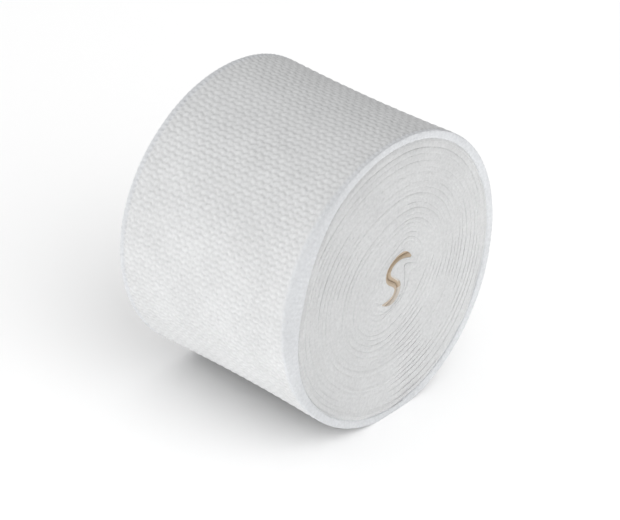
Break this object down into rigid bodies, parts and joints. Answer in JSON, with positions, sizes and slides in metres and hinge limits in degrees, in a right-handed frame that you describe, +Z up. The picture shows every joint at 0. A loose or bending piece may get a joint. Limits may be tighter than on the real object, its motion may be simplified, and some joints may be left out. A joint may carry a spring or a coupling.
{
  "type": "gauze bandage roll",
  "caption": "Strip of loosely woven cotton gauze, wound into a short dense roll that lies on its side, for wrapping a wound.",
  "frame": {"origin": "on the surface that the roll lies on, under the middle of the roll", "axes": "+X along the roll's axis, +Z up"},
  "size_m": [0.05, 0.0666, 0.0692],
  "materials": {
    "cotton_gauze": "matt, soft and fuzzy white cotton, plain weave"
  },
  "bodies": {
    "root": {"bandage_roll": "cotton_gauze"}
  },
  "joints": []
}
